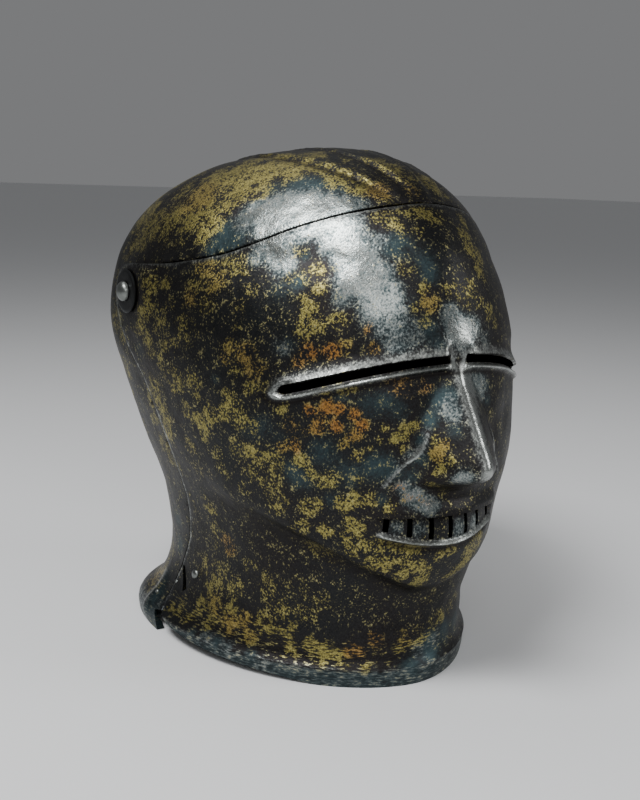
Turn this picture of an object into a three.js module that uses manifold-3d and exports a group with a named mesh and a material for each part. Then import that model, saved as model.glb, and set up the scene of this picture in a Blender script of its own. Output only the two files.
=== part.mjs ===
// Sallet helmet with a hinged mask visor, in millimetres.
// +Z is up, the face looks along -Y, and the wearer's right is -X.
// The origin is on the floor, under the middle of the helmet's bounding box.
import * as THREE from 'three';
import { mergeVertices } from 'three/addons/utils/BufferGeometryUtils.js';
import Module from 'manifold-3d';

const wasm = await Module();
wasm.setup();

// ---- driving dimensions ----
const HEIGHT = 283;                  // floor to the top of the crown
const WIDEST_HEIGHT = 185;           // above this level the helmet is a dome
const SHEET = 1.8;                   // thickness of the steel
const LAP_GAP = 1.5;                 // room between the visor and the skull under it
const SKULL_INSET = SHEET + LAP_GAP; // how far the skull lies inside the visor's outer face
const BOX_SHIFT = 9.0;               // moves the form back so that its box is centred on the origin
const RIM_EXTRA = 2.6;               // the bottom rim is turned in, so it is thicker than the sheet
const RIM_HEIGHT = 8;

const PIVOT_Y = 37;                  // the visor's pivot, behind the ear
const PIVOT_Z = 201;
const PIVOT_HOLE = 3.6;              // radii
const PIVOT_BOSS = 17;               // the flat lobe of the visor round its pivot
const BOSS_INNER = 106.2;            // distances from the middle plane
const BOSS_OUTER = 108.4;
const WASHER_RADIUS = 12.5;
const WASHER_THICKNESS = 1.8;
const RIVET_HEAD = 7;
const RIVET_RISE = 4.6;
const RIVET_SHANK = 3.1;
const RIVET_TAIL_RADIUS = 5.5;
const RIVET_TAIL_START = 98.9;       // the clenched end, inside the skull
const RIVET_TAIL_END = 97.4;
const PLAY = 0.35;                   // gap between pieces that touch
const ROUND_SIDES = 20;              // facets round a rivet, washer or hole

const SLIT_HEIGHT = 4.6;             // the two eye slits
const SLIT_TOP_LEVEL = 182.6;
const SLIT_DROOP = 0.0031;           // the slits fall away from the bridge as a parabola
const SLIT_INNER = 5;
const SLIT_OUTER = 77;

const BREATH_SLOTS = 7;              // upright slots that stand as teeth in the mouth
const BREATH_PITCH = 11.3;
const BREATH_WIDTH = 2.7;
const BREATH_BOTTOM = 88;
const BREATH_TOP = 100;

const LOCK_SLOT = { y: 23, z: 33, length: 15, width: 3.6, lean: 35 };
const LOCK_RIVET = { y: 12, z: 38.5, seat: 0.6, head: 3, rise: 1.8, shank: 1.4, depth: 2.6 };

// ---- the helmet's form, level by level ----
// Each row gives a height and the distances there from the middle line: to the front, to the back
// and to the side, then how far back the widest line lies, and how square the front half is.
const LEVELS = [
  { z: -6, front: 101, back: 124, side: 90, widest: 22, square: 1.8 },
  { z: 0, front: 101.5, back: 127, side: 92.5, widest: 22, square: 1.8 },
  { z: 5, front: 102.5, back: 127, side: 93, widest: 22, square: 1.8 },
  { z: 11, front: 102, back: 121, side: 91, widest: 22, square: 1.85 },
  { z: 18, front: 99.5, back: 110, side: 85.5, widest: 22, square: 1.95 },
  { z: 28, front: 97.5, back: 102, side: 80.5, widest: 22, square: 2.15 },
  { z: 38, front: 96.5, back: 99, side: 77.3, widest: 22, square: 2.3 },
  { z: 50, front: 101, back: 97.5, side: 76, widest: 22, square: 2.4 },
  { z: 80, front: 118, back: 105, side: 79.7, widest: 22, square: 2.15 },
  { z: 115, front: 120, back: 116.8, side: 91, widest: 24, square: 2.35 },
  { z: 150, front: 121.3, back: 125.7, side: 101.6, widest: 30, square: 2.2 },
  { z: WIDEST_HEIGHT, front: 118.5, back: 132.4, side: 108.5, widest: 37, square: 1.97 },
];
const BACK_SQUARE = 2.35;
const BROW_SQUARE = 1.75;            // the dome narrows towards its front edge
const BROW_SQUARE_RISE = 2.4;
const DOME_RISE_POWER = 2.34;
const DOME_EDGE_POWER = 2.14;
const CROWN_Y = -7.4;                // where the top of the crown lies

// ---- outlines in side view, as [y, z], that bound the two plates ----
const VISOR_OUTLINE = [
  [-190, 300], [-104, 260], [-86, 254], [-71, 247], [-53, 237], [-43, 231],
  [-26, 224], [-2, 219.5], [18, 217.5], [37, 217], [48, 213], [54, 204],
  [54, 193], [47, 179], [38, 165], [29, 152], [23, 138], [20, 122], [17, 100],
  [17, 74], [20, 58], [28, 42], [33, 28], [33, 18], [27, 10], [12, 7.5], [-30, 4.5],
  [-75, 1.5], [-92, -4], [-120, -12], [-190, -12],
];
const FACE_OPENING = [
  [-190, 290], [-104, 246], [-86, 240], [-60, 227], [-40, 214], [-20, 207],
  [0, 202], [12, 194], [15, 182], [12, 165], [8, 140], [4, 110], [2, 90],
  [2, 70], [-2, 58], [-8, 48], [-8, 20], [10, 14], [38.8, 11.5], [38.4, 9],
  [32.2, 6], [29, -12], [-190, -12],
];

const steel = new THREE.Color('#2b3033');
const brightSteel = new THREE.Color('#8d9190');

function levelCurve(levels, key) {
  const heights = levels.map((level) => level.z);
  const values = levels.map((level) => level[key]);
  const curve = new THREE.CubicInterpolant(heights, values, 1, new Float64Array(1));
  curve.DefaultSettings_ = {
    endingStart: THREE.ZeroCurvatureEnding,
    endingEnd: THREE.ZeroSlopeEnding,
  };
  return (z) => curve.evaluate(z)[0];
}

const curves = {};
for (const key of ['front', 'back', 'side', 'widest', 'square']) {
  curves[key] = levelCurve(LEVELS, key);
}

// The section at one height, as distances from the middle line.
function section(z) {
  if (z <= WIDEST_HEIGHT) {
    return Object.fromEntries(Object.entries(curves).map(([key, curve]) => [key, curve(z)]));
  }
  const base = section(WIDEST_HEIGHT);
  const rise = Math.min(1, (z - WIDEST_HEIGHT) / (HEIGHT - WIDEST_HEIGHT));
  const shrink = (1 - rise ** DOME_RISE_POWER) ** (1 / DOME_EDGE_POWER);
  const middle = (base.back - base.front) / 2;
  const halfDepth = (base.back + base.front) / 2;
  const centre = CROWN_Y + (middle - CROWN_Y) * shrink;
  return {
    front: halfDepth * shrink - centre,
    back: halfDepth * shrink + centre,
    side: base.side * shrink,
    widest: centre + (base.widest - middle) * shrink,
    square: THREE.MathUtils.lerp(base.square, BROW_SQUARE, Math.min(1, rise * BROW_SQUARE_RISE)),
  };
}

const bump = (value, centre, reach) => Math.exp(-(((value - centre) / reach) ** 2));

// How far the nose and the mouth stand out from the plain form.
const NOSE_LEVELS = [
  { z: 108, proud: 0, half: 16 },
  { z: 113, proud: 1.5, half: 18 },
  { z: 116, proud: 5.5, half: 20 },
  { z: 120, proud: 17, half: 22.5 },
  { z: 126, proud: 25.6, half: 24.3 },
  { z: 132, proud: 25, half: 24.2 },
  { z: 141, proud: 20, half: 22 },
  { z: 152, proud: 13.2, half: 17.5 },
  { z: 163, proud: 7.2, half: 12 },
  { z: 171, proud: 3.4, half: 8 },
  { z: 179, proud: 0.8, half: 6 },
  { z: 190, proud: 0, half: 6 },
];
const noseProud = levelCurve(NOSE_LEVELS, 'proud');
const noseHalf = levelCurve(NOSE_LEVELS, 'half');

function faceRelief(x, z) {
  const inNose = z > 108 && z < 190;
  const across = inNose ? Math.max(0, 1 - Math.abs(x) / noseHalf(z)) : 0;
  const nose = across > 0 ? Math.max(0, noseProud(z)) * across : 0;
  const muzzle = 3 * bump(x, 0, 17) * bump(z, 95, 22);
  return nose + muzzle;
}

// A point of the form, inset by some distance. The angle runs from the wearer's left.
function formPoint(angle, z, inset) {
  const at = section(Math.min(z, HEIGHT));
  const [c, s] = [Math.cos(angle), Math.sin(angle)];
  const power = s < 0 ? at.square : BACK_SQUARE;
  const round = (Math.abs(c) ** power + Math.abs(s) ** power) ** (1 / power);
  const depth = s < 0 ? at.front + at.widest : at.back - at.widest;
  const x = (Math.max(0, at.side - inset) * c) / round;
  const y = at.widest + (Math.max(0, depth - inset) * s) / round;
  const relief = s < 0 ? faceRelief(x, z) : 0;
  return new THREE.Vector3(x, y - relief, z);
}

// Angles are close together over the face and wider apart round the rest.
function ringAngles() {
  const FACE_HALF = 45;
  const FACE_STEP = 3;
  const REST_STEP = 11.25;
  const degrees = [];
  for (let a = -FACE_HALF; a < FACE_HALF; a += FACE_STEP) degrees.push(a);
  for (let a = FACE_HALF; a < 360 - FACE_HALF; a += REST_STEP) degrees.push(a);
  return degrees.map((a) => THREE.MathUtils.degToRad(a - 90));
}

function ringHeights(bottom) {
  const lower = [0, 4, 8, 13, 20, 29, 38, 50, 70, 90, 102, 111, 116, 121, 127, 140, 154, 169];
  const heights = [bottom, ...lower.filter((z) => z > bottom)];
  const DOME_STEPS = 9;
  for (let i = 0; i < DOME_STEPS; i += 1) {
    const turn = (i / DOME_STEPS) * (Math.PI / 2);
    heights.push(WIDEST_HEIGHT + (HEIGHT - WIDEST_HEIGHT) * Math.sin(turn));
  }
  return heights;
}

// The whole form as a closed solid, inset by some distance and closed flat at the bottom.
// A rim narrows it further towards the bottom.
function formSolid(inset, bottom, rim = 0) {
  const angles = ringAngles();
  const heights = ringHeights(bottom);
  const points = [];
  for (const z of heights) {
    const lowered = z > WIDEST_HEIGHT ? (z - WIDEST_HEIGHT) / (HEIGHT - WIDEST_HEIGHT) : 0;
    for (const angle of angles) {
      const turnedIn = rim * (1 - THREE.MathUtils.smoothstep(z, RIM_HEIGHT / 2, RIM_HEIGHT));
      const point = formPoint(angle, z, inset + turnedIn);
      point.z -= inset * lowered;
      points.push(point);
    }
  }
  const crown = new THREE.Vector3(0, CROWN_Y, HEIGHT - inset);
  const foot = new THREE.Vector3(0, 0, bottom);
  points.push(crown, foot);
  const count = angles.length;
  const faces = [];
  for (let row = 0; row < heights.length - 1; row += 1) {
    for (let i = 0; i < count; i += 1) {
      const next = (i + 1) % count;
      const [a, b] = [row * count + i, row * count + next];
      faces.push(a, b, b + count, a, b + count, a + count);
    }
  }
  const last = (heights.length - 1) * count;
  for (let i = 0; i < count; i += 1) {
    const next = (i + 1) % count;
    faces.push(last + i, last + next, points.length - 2);
    faces.push(next, i, points.length - 1);
  }
  const geometry = new THREE.BufferGeometry().setFromPoints(points);
  geometry.setIndex(faces);
  return toSolid(geometry);
}

function toSolid(geometry) {
  const bare = geometry.clone();
  bare.deleteAttribute('normal');
  bare.deleteAttribute('uv');
  const merged = mergeVertices(bare, 1e-4);
  return new wasm.Manifold(new wasm.Mesh({
    numProp: 3,
    vertProperties: new Float32Array(merged.attributes.position.array),
    triVerts: new Uint32Array(merged.index.array),
  }));
}

function toGeometry(solid) {
  const mesh = solid.getMesh();
  const geometry = new THREE.BufferGeometry();
  geometry.setAttribute('position', new THREE.BufferAttribute(new Float32Array(mesh.vertProperties), 3));
  geometry.setIndex(Array.from(mesh.triVerts));
  return geometry;
}

// A side-view outline drawn right through the helmet from left to right.
function sidePrism(outline) {
  const HALF_SPAN = 150;
  const shape = new THREE.Shape(outline.map(([y, z]) => new THREE.Vector2(y, z)));
  const geometry = new THREE.ExtrudeGeometry(shape, { depth: 2 * HALF_SPAN, bevelEnabled: false });
  geometry.rotateX(Math.PI / 2);
  geometry.rotateZ(Math.PI / 2);
  geometry.translate(-HALF_SPAN, 0, 0);
  return toSolid(geometry);
}

// A front-view outline, as [x, z], drawn back through the face only.
function facePrism(outline) {
  const shape = new THREE.Shape(outline.map(([x, z]) => new THREE.Vector2(x, z)));
  const geometry = new THREE.ExtrudeGeometry(shape, { depth: 150, bevelEnabled: false });
  geometry.rotateX(Math.PI / 2);
  geometry.translate(0, -30, 0);
  return toSolid(geometry);
}

// A rod along X, between two distances on the side given by sign.
function sideRod(sign, radius, from, to, y, z) {
  const geometry = new THREE.CylinderGeometry(radius, radius, to - from, ROUND_SIDES);
  geometry.rotateZ(Math.PI / 2);
  geometry.translate((sign * (from + to)) / 2, y, z);
  return toSolid(geometry);
}

function eyeSlit(sign) {
  const STEPS = 8;
  const upper = [];
  for (let i = 0; i <= STEPS; i += 1) {
    const x = SLIT_INNER + ((SLIT_OUTER - SLIT_INNER) * i) / STEPS;
    upper.push([sign * x, SLIT_TOP_LEVEL - SLIT_DROOP * x * x]);
  }
  const lower = upper.map(([x, z]) => [x, z - SLIT_HEIGHT]).reverse();
  return facePrism([...upper, ...lower]);
}

function breathSlot(index) {
  const x = (index - (BREATH_SLOTS - 1) / 2) * BREATH_PITCH;
  const half = BREATH_WIDTH / 2;
  return facePrism([
    [x - half, BREATH_BOTTOM], [x + half, BREATH_BOTTOM],
    [x + half, BREATH_TOP], [x - half, BREATH_TOP],
  ]);
}

function lockSlot() {
  const { y, z, length, width, lean } = LOCK_SLOT;
  const geometry = new THREE.BoxGeometry(30, width, length);
  geometry.rotateX(-THREE.MathUtils.degToRad(lean));
  geometry.translate(-90, y, z);
  return toSolid(geometry);
}

function makeVisor() {
  const outer = formSolid(0, 0);
  const inner = formSolid(SHEET, -6, RIM_EXTRA);
  let visor = outer.subtract(inner).intersect(sidePrism(VISOR_OUTLINE));
  for (const sign of [-1, 1]) {
    visor = visor.subtract(sideRod(sign, PIVOT_BOSS - 0.2, 90, BOSS_INNER + 0.1, PIVOT_Y, PIVOT_Z));
    visor = visor.add(sideRod(sign, PIVOT_BOSS, BOSS_INNER, BOSS_OUTER, PIVOT_Y, PIVOT_Z));
    visor = visor.subtract(sideRod(sign, PIVOT_HOLE, 90, 120, PIVOT_Y, PIVOT_Z));
    visor = visor.subtract(eyeSlit(sign));
  }
  for (let i = 0; i < BREATH_SLOTS; i += 1) visor = visor.subtract(breathSlot(i));
  visor = visor.subtract(lockSlot());
  const { shank, depth } = LOCK_RIVET;
  const bore = new THREE.CylinderGeometry(shank + PLAY, shank + PLAY, 4 * depth, ROUND_SIDES);
  return visor.subtract(toSolid(onRightSide(bore, LOCK_RIVET)));
}

function makeSkull() {
  const outer = formSolid(SKULL_INSET, 0);
  const inner = formSolid(SKULL_INSET + SHEET, -6, RIM_EXTRA);
  let skull = outer.subtract(inner).subtract(sidePrism(FACE_OPENING));
  for (const sign of [-1, 1]) {
    skull = skull.subtract(sideRod(sign, PIVOT_HOLE, 90, 120, PIVOT_Y, PIVOT_Z));
  }
  return skull;
}

// A turned piece whose axis lies along X, its profile given as [distance, radius].
function turnedPiece(profile, sign, y, z) {
  const outline = profile.map(([distance, radius]) => new THREE.Vector2(radius, distance));
  const geometry = new THREE.LatheGeometry(outline, ROUND_SIDES);
  geometry.rotateZ((-sign * Math.PI) / 2);
  geometry.translate(0, y, z);
  return toGeometry(toSolid(geometry));
}

function domedProfile(start, radius, rise) {
  const STEPS = 5;
  const profile = [];
  for (let i = 0; i <= STEPS; i += 1) {
    const turn = (i / STEPS) * (Math.PI / 2);
    profile.push([start + rise * Math.sin(turn), i === STEPS ? 0 : radius * Math.cos(turn)]);
  }
  return profile;
}

function makePivotRivet(sign) {
  const headStart = BOSS_OUTER + PLAY + WASHER_THICKNESS + PLAY;
  const profile = [
    [RIVET_TAIL_END, 0], [RIVET_TAIL_END, RIVET_TAIL_RADIUS], [RIVET_TAIL_START, RIVET_TAIL_RADIUS],
    [RIVET_TAIL_START, RIVET_SHANK], [headStart, RIVET_SHANK],
    ...domedProfile(headStart, RIVET_HEAD, RIVET_RISE),
  ];
  return turnedPiece(profile, sign, PIVOT_Y, PIVOT_Z);
}

function makeWasher(sign) {
  const start = BOSS_OUTER + PLAY;
  const bore = RIVET_SHANK + PLAY;
  const profile = [
    [start, bore], [start, WASHER_RADIUS], [start + WASHER_THICKNESS * 0.5, WASHER_RADIUS],
    [start + WASHER_THICKNESS, WASHER_RADIUS - 1.5], [start + WASHER_THICKNESS, bore], [start, bore],
  ];
  return turnedPiece(profile, sign, PIVOT_Y, PIVOT_Z);
}

function makeLockRivet() {
  const { seat, head, rise, shank, depth } = LOCK_RIVET;
  const profile = [
    [-depth, 0], [-depth, shank], [seat, shank],
    ...domedProfile(seat, head, rise),
  ];
  const outline = profile.map(([distance, radius]) => new THREE.Vector2(radius, distance));
  const geometry = onRightSide(new THREE.LatheGeometry(outline, ROUND_SIDES), LOCK_RIVET);
  return toGeometry(toSolid(geometry));
}

// Stands a piece that was made along +Y on the visor's right side, square to its surface.
function onRightSide(geometry, { y, z }) {
  const place = (dy, dz) => new THREE.Vector3(-outerHalfWidth(y + dy, z + dz), y + dy, z + dz);
  const along = place(1, 0).sub(place(-1, 0));
  const up = place(0, 1).sub(place(0, -1));
  const outward = up.cross(along).normalize();
  const turn = new THREE.Quaternion().setFromUnitVectors(new THREE.Vector3(0, 1, 0), outward);
  geometry.applyQuaternion(turn);
  geometry.translate(...place(0, 0).toArray());
  return geometry;
}

// How far the visor's outer face stands from the middle plane at one place in side view.
function outerHalfWidth(y, z) {
  const at = section(z);
  const depth = y < at.widest ? at.front + at.widest : at.back - at.widest;
  const power = y < at.widest ? at.square : BACK_SQUARE;
  return at.side * (1 - Math.abs((y - at.widest) / depth) ** power) ** (1 / power);
}

const helmet = new THREE.Group();
helmet.position.y = BOX_SHIFT;

function addPiece(name, geometry, color, roughness, metalness) {
  geometry.computeVertexNormals();
  const mesh = new THREE.Mesh(geometry, new THREE.MeshStandardMaterial({ color, roughness, metalness }));
  mesh.name = name;
  helmet.add(mesh);
}

addPiece('skull', toGeometry(makeSkull()), steel, 0.45, 0.9);
addPiece('mask_visor', toGeometry(makeVisor()), steel, 0.45, 0.9);
for (const [sign, side] of [[-1, 'right'], [1, 'left']]) {
  addPiece(`pivot_washer_${side}`, makeWasher(sign), steel, 0.5, 0.9);
  addPiece(`pivot_rivet_${side}`, makePivotRivet(sign), brightSteel, 0.35, 1);
}
addPiece('lock_rivet_right', makeLockRivet(), brightSteel, 0.35, 1);

export default helmet;
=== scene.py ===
# %% [markdown]
# # A sallet with a mask visor
# The real object is a steel helmet of two raised plates. The skull covers the crown, the back and the
# nape. The visor is a face: brow, eye slits, nose, toothed mouth, cheeks, throat and a flanged neck.
# It turns on two rivets behind the ears. The steel was blackened and gilded, and most of the gold is
# rubbed away. This lesson makes both plates from one formula for the helmet's form, then gives them a
# finish in which bare steel, black oxide and gold each have their own place.

# %% Load the frame
import math

import bmesh
import bpy
import numpy as np
from mathutils import Matrix, Vector, noise


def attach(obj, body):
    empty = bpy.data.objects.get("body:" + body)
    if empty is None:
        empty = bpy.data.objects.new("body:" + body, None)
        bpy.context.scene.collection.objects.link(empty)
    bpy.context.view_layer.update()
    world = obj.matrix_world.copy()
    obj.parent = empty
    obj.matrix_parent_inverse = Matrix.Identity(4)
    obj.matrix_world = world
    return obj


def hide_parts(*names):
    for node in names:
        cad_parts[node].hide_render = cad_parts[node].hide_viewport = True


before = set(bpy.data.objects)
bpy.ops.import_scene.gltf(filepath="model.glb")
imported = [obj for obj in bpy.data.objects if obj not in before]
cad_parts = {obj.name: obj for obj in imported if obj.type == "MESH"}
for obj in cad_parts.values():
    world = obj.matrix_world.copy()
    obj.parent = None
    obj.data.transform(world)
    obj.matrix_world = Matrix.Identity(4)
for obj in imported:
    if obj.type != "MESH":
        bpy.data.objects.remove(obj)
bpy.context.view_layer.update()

# %% [markdown]
# ## Units and the plain form
# Every length of the helmet is in millimetres, turned to metres once at the end of each piece.
# A raised helmet is smooth and has no straight lines, so it could be sculpted, or lofted through
# sections. A loft is chosen here, because a few sections keep both plates on one form: each level
# says how far the steel stands in front of, behind and beside the middle line.

# %% Driving sizes of the form
MM = 0.001
HEIGHT = 283.0
WIDEST_HEIGHT = 185.0
CROWN_Y = -7.4
BACK_SQUARE = 2.35
TOP_SQUARE = 1.68
TOP_SQUARE_RISE = 2.37
DOME_RISE_POWER = 2.34
DOME_EDGE_POWER = 2.14
BOX_SHIFT = 9.0
SHEET = 1.8
LAP_INSET = 2.6
FREE_INSET = 0.4

# height, front, back, side, how far back the widest line lies, how square the front half is
LEVELS = np.array([
    (0, 101.5, 127, 92.5, 22, 1.8),
    (5, 102.5, 127, 93, 22, 1.8),
    (11, 102, 121, 91, 22, 1.85),
    (18, 99.5, 110, 85.5, 22, 1.95),
    (28, 97.5, 102, 80.5, 22, 2.15),
    (38, 96.5, 99, 77.3, 22, 2.3),
    (50, 101, 97.5, 76, 22, 2.4),
    (80, 118, 105, 79.7, 22, 2.15),
    (115, 120, 116.8, 91, 24, 2.35),
    (150, 121.3, 125.7, 101.6, 30, 2.2),
    (WIDEST_HEIGHT, 118.5, 132.4, 108.5, 37, 1.97),
])


def smooth_curve(knots, values):
    """A smooth curve through a few points, level at its last one, as a function of arrays."""
    slope = np.gradient(values, knots)
    slope[-1] = 0.0

    def value(t):
        i = np.clip(np.searchsorted(knots, t) - 1, 0, len(knots) - 2)
        gap = knots[i + 1] - knots[i]
        f = np.clip((t - knots[i]) / gap, 0.0, 1.0)
        start = (1 + 2 * f) * (1 - f) ** 2 * values[i] + f * (1 - f) ** 2 * gap * slope[i]
        return start + f * f * (3 - 2 * f) * values[i + 1] + f * f * (f - 1) * gap * slope[i + 1]

    return value


FRONT, BACK, SIDE, WIDEST, SQUARE = [smooth_curve(LEVELS[:, 0], LEVELS[:, k]) for k in range(1, 6)]
print("form: %d levels up to %.0f mm, then a dome to %.0f mm" % (len(LEVELS), WIDEST_HEIGHT, HEIGHT))


# %% The form as a function of an angle and a height
def form_points(angle, height):
    """Points of the form: the angle runs round the helmet, and 0 is the wearer's left."""
    low = np.minimum(height, WIDEST_HEIGHT)
    front, back, side, widest, square = [curve(low) for curve in (FRONT, BACK, SIDE, WIDEST, SQUARE)]
    rise = np.clip((height - WIDEST_HEIGHT) / (HEIGHT - WIDEST_HEIGHT), 0, 1)
    shrink = (1 - rise ** DOME_RISE_POWER) ** (1 / DOME_EDGE_POWER)
    middle = (back - front) / 2
    half = (back + front) / 2
    centre = CROWN_Y + (middle - CROWN_Y) * shrink
    in_dome = height > WIDEST_HEIGHT
    front = np.where(in_dome, half * shrink - centre, front)
    back = np.where(in_dome, half * shrink + centre, back)
    widest = np.where(in_dome, centre + (widest - middle) * shrink, widest)
    square = square + (TOP_SQUARE - square) * np.clip(rise * TOP_SQUARE_RISE, 0, 1)
    side = side * shrink
    c, s = np.cos(angle), np.sin(angle)
    power = np.where(s < 0, square, BACK_SQUARE)
    roundness = (np.abs(c) ** power + np.abs(s) ** power) ** (1 / power)
    depth = np.where(s < 0, front + widest, back - widest)
    x = side * c / roundness
    y = widest + depth * s / roundness
    return np.stack([x, y, height], axis=-1)


# %% [markdown]
# ## Outlines of the two plates
# Each plate is the form inside an outline drawn in side view. The outline is rounded by cutting its
# corners three times, so that the seam over the brow and the edge behind the cheek are fair curves.

# %% Side-view outlines, as y and z
VISOR_OUTLINE = [
    (-190, 300), (-104, 260), (-86, 254), (-71, 247), (-53, 237), (-43, 231),
    (-26, 224), (-2, 219.5), (18, 217.5), (37, 217), (48, 213), (54, 204),
    (54, 193), (47, 179), (38, 165), (29, 152), (23, 138), (20, 122), (17, 100),
    (17, 74), (20, 58), (28, 42), (33, 28), (33, 18), (27, 10), (12, 7.5), (-30, 4.5), (-75, 1.5),
    (-92, -4), (-120, -12), (-190, -12),
]
FACE_OPENING = [
    (-190, 290), (-104, 246), (-86, 240), (-60, 227), (-40, 214), (-20, 207),
    (0, 202), (12, 194), (15, 182), (12, 165), (8, 140), (4, 110), (2, 90),
    (2, 70), (-2, 58), (-8, 48), (-8, 20), (10, 14), (38.8, 11.5), (38.4, 9),
    (32.2, 6), (29, -12), (-190, -12),
]


def cut_corners(outline, rounds=3):
    points = np.array(outline, dtype=float)
    for _ in range(rounds):
        after = np.roll(points, -1, axis=0)
        points = np.stack([0.75 * points + 0.25 * after, 0.25 * points + 0.75 * after], 1).reshape(-1, 2)
    return points


def depth_inside(outline, points):
    """How deep each 2-D point lies inside the outline, negative outside."""
    start, end = outline, np.roll(outline, -1, axis=0)
    nearest = np.full(len(points), 1e9)
    crossings = np.zeros(len(points), dtype=int)
    for a, b in zip(start, end):
        edge = b - a
        t = np.clip((points - a) @ edge / (edge @ edge + 1e-12), 0, 1)
        nearest = np.minimum(nearest, np.linalg.norm(points - a - t[:, None] * edge, axis=1))
        spans = (a[1] > points[:, 1]) != (b[1] > points[:, 1])
        if spans.any():
            level = a[0] + (points[:, 1] - a[1]) * edge[0] / (edge[1] if edge[1] else 1e-9)
            crossings += spans & (points[:, 0] < level)
    return np.where(crossings % 2 == 1, nearest, -nearest)


visor_outline = cut_corners(VISOR_OUTLINE)
face_opening = cut_corners(FACE_OPENING)
print("outlines:", len(visor_outline), "and", len(face_opening), "points after rounding")


# %% [markdown]
# ## The face
# The nose, the muzzle, the brow ledge, the lips and the jaw were driven out of the sheet with
# hammers. On a dense mesh this could be sculpted by hand; here each feature is a height in
# millimetres over the plain form, so that it can be read, measured and changed.

# %% Helpers for relief
def bump(value, centre, reach):
    return np.exp(-(((value - centre) / reach) ** 2))


def ramp(value, start, end):
    f = np.clip((value - start) / (end - start), 0, 1)
    return f * f * (3 - 2 * f)


def ridge(distance, width, height):
    """A rounded ridge over the line where distance is 0."""
    return height * np.exp(-((distance / width) ** 2))


# %% Eye slits: where they are
SLIT_LEVEL = 180.3
SLIT_DROOP = 0.0031
SLIT_HALF = 2.3
SLIT_INNER = 5.0
SLIT_OUTER = 77.0


def slit_line(x):
    return SLIT_LEVEL - SLIT_DROOP * np.minimum(np.abs(x), 84.0) ** 2


def slit_depth(x, z):
    """How deep a point of the face lies inside an eye slit; the outer end is round."""
    past = np.maximum(np.abs(x) - (SLIT_OUTER - SLIT_HALF), 0)
    rounded = SLIT_HALF - np.hypot(past, z - slit_line(x))
    return np.minimum(rounded, np.abs(x) - SLIT_INNER)


# %% Breaths between the teeth: where they are
BREATHS = 7
BREATH_PITCH = 11.3
BREATH_HALF = 1.35
MOUTH_HIGH = 100.3
MOUTH_LOW = 87.0
MOUTH_HALF_WIDTH = 38.0


def mouth_floor(x):
    """Height of the lower lip: the mouth turns up at its ends."""
    return MOUTH_LOW + 0.0038 * np.minimum(np.abs(x), 45.0) ** 2


def breath_depth(x, z):
    index = np.clip(np.round(x / BREATH_PITCH), -(BREATHS // 2), BREATHS // 2)
    across = BREATH_HALF - np.abs(x - index * BREATH_PITCH)
    return np.minimum(across, np.minimum(z - mouth_floor(x) - 0.8, MOUTH_HIGH - 0.2 - z))


# %% The nose
NOSE_HEIGHTS = np.array([108, 113, 116, 120, 124, 128, 132, 141, 152, 163, 171, 179, 190.0])
PROUD_AT = np.array([0, 1.5, 5.5, 17, 24.5, 26.5, 25.6, 20, 13.2, 7.2, 3.4, 0.8, 0.0])
HALF_AT = np.array([16, 18, 20, 22.5, 24, 24.5, 24.2, 22, 17.5, 12, 8, 6, 6.0])
NOSE_PROUD = smooth_curve(NOSE_HEIGHTS, PROUD_AT)
NOSE_HALF = smooth_curve(NOSE_HEIGHTS, HALF_AT)


def nose_relief(x, z):
    off = np.abs(x) / NOSE_HALF(z)
    ridge_round = 0.17
    roof = 1 - (np.sqrt(off * off + ridge_round ** 2) - ridge_round)
    foot_round = 0.07
    roof = (roof + np.sqrt(roof * roof + foot_round ** 2)) / 2 - foot_round ** 2 / 4
    wing = 1.6 * bump(np.abs(x), 14, 5) * bump(z, 125, 8)
    return NOSE_PROUD(z) * roof * (np.abs(x) < 60) + wing


# %% The mouth
def mouth_relief(x, z):
    muzzle = 3.0 * bump(x, 0, 17) * bump(z, 95, 22)
    ends = ramp(MOUTH_HALF_WIDTH - np.abs(x), -1.5, 3.5)
    below_lip = MOUTH_HIGH - z
    up = (z - mouth_floor(x)) / (MOUTH_HIGH - mouth_floor(x))
    teeth = -(0.9 + 2.0 * np.clip(up, 0, 1) ** 1.5) * ramp(below_lip, -0.25, 0.35) * ramp(up, -0.14, 0.06)
    rim = ridge(z - mouth_floor(x) + 1.4, 1.15, 1.5)
    under = ridge(z - mouth_floor(x) + 4.6, 2.0, -1.1)
    upper = 2.0 * ramp(below_lip, -9.5, -2.0) * ramp(0.3 - below_lip, 0, 0.5)
    return muzzle + ends * (teeth + rim + under + upper)


# %% The lids of the eye slits
def lid_relief(x, z):
    """A broad flare over each slit and a narrow lip under it that runs round its outer end."""
    away = -slit_depth(x, z)
    above = z - slit_line(x)
    over = ramp(above, -0.6, 1.0) * ramp(SLIT_OUTER + 3.0 - np.abs(x), 0, 9)
    flare = 2.5 * np.clip(1 - away / 8.5, 0, 1) ** 1.5
    lip = 0.3 + 1.9 * np.exp(-(((away - 1.9) / 1.15) ** 2)) - 0.3 * ramp(away, 2, 6)
    bridge = ramp(np.abs(x), SLIT_INNER - 1.0, SLIT_INNER + 3.5)
    lids = over * flare + (1 - over) * lip * ramp(9.0 - away, 0, 4)
    return bridge * lids - 0.9 * (1 - bridge) * bump(above, 0, 5)


# %% The cheeks and the jaw
def jaw_line(x):
    return 47.0 + 0.6 * np.sqrt(x * x + 150.0)


def fold_line(z):
    """How far out the fold lies that runs from the nose's side down to the corner of the mouth."""
    return np.interp(z, [113, 121.5, 127.5, 134.5, 142.5, 150], [40, 34.7, 30.0, 24.6, 21.0, 18.5])


def fold_span(z):
    return ramp(z, 113, 120) * ramp(152 - z, 0, 14)


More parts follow.
